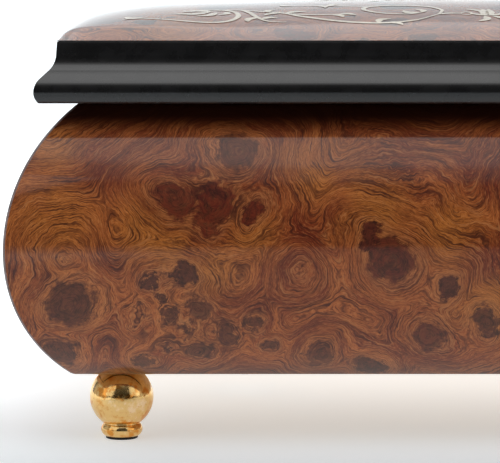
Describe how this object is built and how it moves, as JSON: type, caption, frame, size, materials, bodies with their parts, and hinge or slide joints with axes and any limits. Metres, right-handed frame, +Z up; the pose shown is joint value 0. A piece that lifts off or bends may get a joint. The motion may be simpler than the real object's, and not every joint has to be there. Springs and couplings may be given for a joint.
{
  "type": "musical jewelry box",
  "caption": "Bombe musical jewelry box in burl veneer with a domed hinged lid, turned feet, lined compartments and a wind-up cylinder movement under a clear cover.",
  "frame": {"origin": "on the floor plane under the middle of the case", "axes": "+X to the right along the front, +Y to the back where the hinges are, +Z up; the front faces -Y"},
  "size_m": [0.2, 0.14, 0.0921],
  "materials": {
    "burl_veneer": "gloss lacquered burl veneer",
    "black_lacquer": "gloss black lacquer",
    "polished_gold": "polished gold plate",
    "brass": "satin brass",
    "steel": "fine brushed",
    "cast_zinc": "cast grey zinc alloy",
    "plywood": "plain varnished wood",
    "velvet": "short velvet pile",
    "felt": "dark felt",
    "clear_acrylic": "clear",
    "black_plastic": "satin"
  },
  "bodies": {
    "case": {"front_panel": "burl_veneer", "back_panel": "burl_veneer", "left_panel": "burl_veneer", "right_panel": "burl_veneer", "bottom_panel": "plywood", "foot_front_left": "polished_gold", "foot_front_right": "polished_gold", "foot_back_left": "polished_gold", "foot_back_right": "polished_gold", "foot_pad_front_left": "felt", "foot_pad_front_right": "felt", "foot_pad_back_left": "felt", "foot_pad_back_right": "felt", "hinge_left_case_leaf": "brass", "hinge_right_case_leaf": "brass", "hinge_left_pin": "steel", "hinge_right_pin": "steel", "movement_partition": "plywood", "lining_floor": "velvet", "lining_front": "velvet", "lining_back": "velvet", "lining_left": "velvet", "lining_right": "velvet", "ring_divider": "velvet", "ring_ledge_left": "plywood", "ring_ledge_right": "plywood", "ring_tray": "velvet", "ring_roll_1": "velvet", "ring_roll_2": "velvet", "ring_roll_3": "velvet", "ring_roll_4": "velvet", "cover_ledge_front": "plywood", "cover_ledge_back": "plywood", "movement_cover": "clear_acrylic", "movement_bedplate": "cast_zinc", "music_comb": "steel", "comb_screw_1": "steel", "comb_screw_2": "steel", "governor_frame": "brass", "mount_screw_1": "steel", "mount_screw_2": "steel", "mount_screw_3": "steel"},
    "lid": {"lid_moulding_front": "black_lacquer", "lid_moulding_back": "black_lacquer", "lid_moulding_left": "black_lacquer", "lid_moulding_right": "black_lacquer", "lid_crown": "burl_veneer", "lid_lining": "velvet", "hinge_left_lid_leaf": "brass", "hinge_right_lid_leaf": "brass"},
    "cylinder": {"pinned_cylinder": "brass", "cylinder_arbor": "steel", "cylinder_wheel": "brass"},
    "barrel": {"spring_barrel": "brass", "mainspring": "steel"},
    "governor": {"governor_wheel": "steel"},
    "fan": {"governor_fan": "black_plastic"},
    "winding": {"winding_arbor": "steel", "winding_key": "steel"},
    "plunger": {"stop_plunger": "steel"}
  },
  "joints": [
    {"name": "lid_hinge", "type": "hinge", "parent": "case", "child": "lid", "pos_m": [0, 0.0578, 0.0708], "axis": [-1, 0, 0], "range_deg": [0, 95]},
    {"name": "cylinder_spin", "type": "hinge", "parent": "case", "child": "cylinder", "pos_m": [-0.05145, -0.011, 0.03357], "axis": [0, 1, 0], "continuous": true},
    {"name": "barrel_spin", "type": "hinge", "parent": "case", "child": "barrel", "pos_m": [-0.05145, 0.015, 0.028], "axis": [0, 0, 1], "continuous": true},
    {"name": "governor_spin", "type": "hinge", "parent": "case", "child": "governor", "pos_m": [-0.04384, -0.0233, 0.0308], "axis": [0, 1, 0], "continuous": true},
    {"name": "fan_spin", "type": "hinge", "parent": "case", "child": "fan", "pos_m": [-0.03869, -0.0252, 0.032], "axis": [0, 0, 1], "continuous": true},
    {"name": "winding_turn", "type": "hinge", "parent": "case", "child": "winding", "pos_m": [-0.05145, 0.015, 0.014], "axis": [0, 0, 1], "continuous": true},
    {"name": "plunger_rise", "type": "slide", "parent": "case", "child": "plunger", "axis": [0, 0, 1], "range_m": [0, 0.004]}
  ],
  "couplings": [
    {"joint": "barrel_spin", "follows": "cylinder_spin", "ratio": -0.17857},
    {"joint": "governor_spin", "follows": "cylinder_spin", "ratio": -4},
    {"joint": "fan_spin", "follows": "cylinder_spin", "ratio": 80},
    {"joint": "plunger_rise", "follows": "lid_hinge", "m_per_rad": 0.0024}
  ]
}
